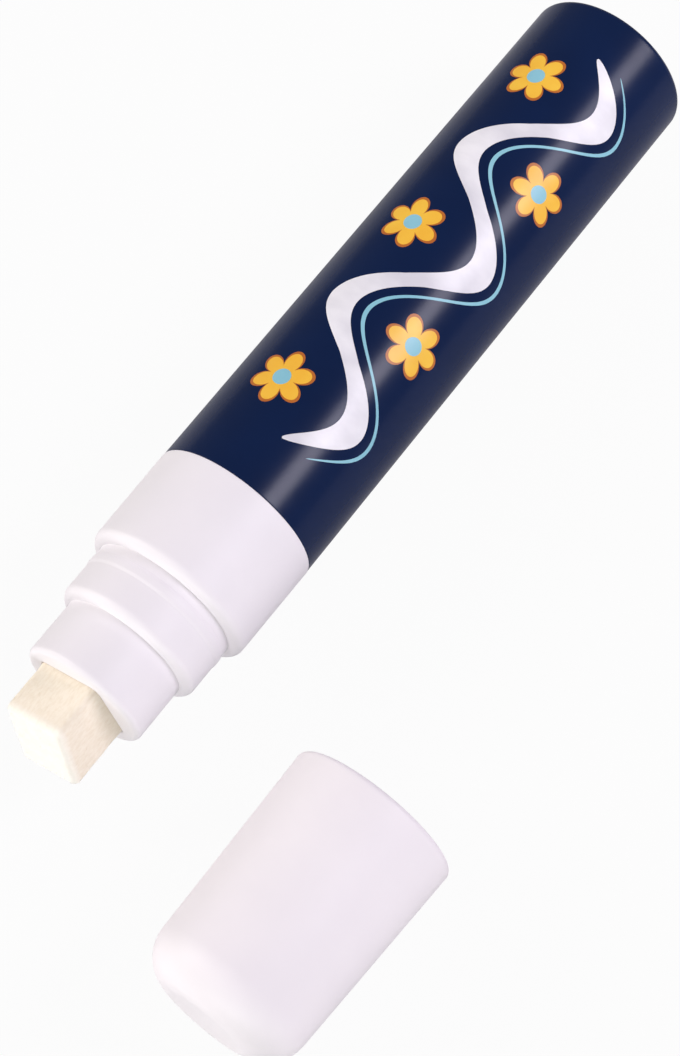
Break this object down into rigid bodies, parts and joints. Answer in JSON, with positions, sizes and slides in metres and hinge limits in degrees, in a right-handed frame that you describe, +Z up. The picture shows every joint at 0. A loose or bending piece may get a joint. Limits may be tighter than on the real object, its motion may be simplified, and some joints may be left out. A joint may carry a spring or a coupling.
{
  "type": "liquid chalk marker",
  "caption": "Broad round chalk-ink marker with a stepped white nose, a square felt nib on a spring-loaded valve, and a loose pull-off cap lying beside it.",
  "frame": {"origin": "on the marker's axis, where the barrel meets the nose collar", "axes": "+X along the marker's axis towards the closed tail, +Z up from the table that the marker and its cap lie on"},
  "size_m": [0.1663, 0.0724, 0.028],
  "materials": {
    "navy_barrel": "glossy navy plastic with a printed design",
    "white_nose": "moulded white plastic, satin",
    "white_cap": "moulded white plastic, satin",
    "liner_plastic": "soft natural polyethylene",
    "cream_felt": "pressed cream felt block",
    "seal_rubber": "black rubber",
    "valve_plastic": "natural moulded plastic",
    "spring_steel": "stainless spring wire",
    "ball_steel": "polished steel ball"
  },
  "bodies": {
    "marker": {"barrel": "navy_barrel", "nose_holder": "white_nose", "holder_o_ring": "seal_rubber", "body_gasket": "seal_rubber", "valve_body": "valve_plastic", "valve_cage": "valve_plastic", "valve_spring": "spring_steel"},
    "writing_tip": {"nib": "cream_felt", "valve_stem": "valve_plastic", "valve_seal": "seal_rubber"},
    "mixing_ball": {"mixing_ball": "ball_steel"},
    "cap": {"cap_shell": "white_cap", "cap_liner": "liner_plastic"}
  },
  "joints": [
    {"name": "nib_press", "type": "slide", "parent": "marker", "child": "writing_tip", "axis": [1, 0, 0], "range_m": [0, 0.0025], "stiffness_N_per_m": 1200, "springref_m": -0.0025, "deforming": ["valve_spring"]},
    {"name": "ball_roll", "type": "slide", "parent": "marker", "child": "mixing_ball", "axis": [1, 0, 0], "range_m": [-0.044, 0.035]},
    {"name": "cap_line_up", "type": "slide", "parent": "marker", "child": "cap", "axis": [-0.7071, 0.7071, 0], "range_m": [0, 0.0634]}
  ]
}
